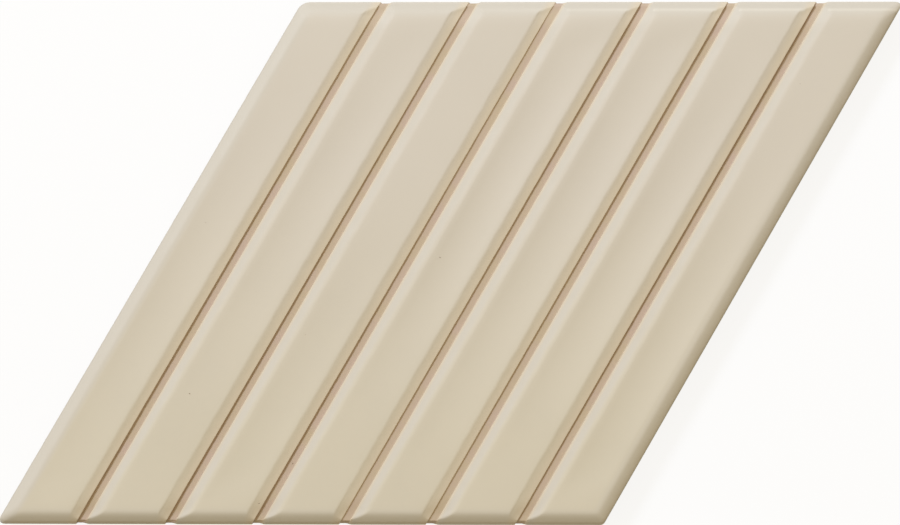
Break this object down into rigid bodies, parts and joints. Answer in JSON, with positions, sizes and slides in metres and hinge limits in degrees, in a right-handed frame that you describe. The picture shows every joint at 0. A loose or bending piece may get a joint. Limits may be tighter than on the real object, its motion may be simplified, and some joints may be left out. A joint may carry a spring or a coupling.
{
  "type": "ceramic wall tile",
  "caption": "Rhombus ceramic wall tile with seven bars parallel to its slanted sides, their shoulders sloping down to straight sunk grooves, and a satin beige glaze.",
  "frame": {"origin": "middle of the back, on the plane the tile lies on", "axes": "+X along the two straight ends, toward the upper right acute corner of the picture, +Y toward the top of the picture, +Z out of the glazed face"},
  "size_m": [0.2262, 0.1316, 0.009],
  "materials": {
    "glazed_ceramic": "satin beige glaze, thinner and warmer in the grooves"
  },
  "bodies": {
    "root": {"tile": "glazed_ceramic"}
  },
  "joints": []
}
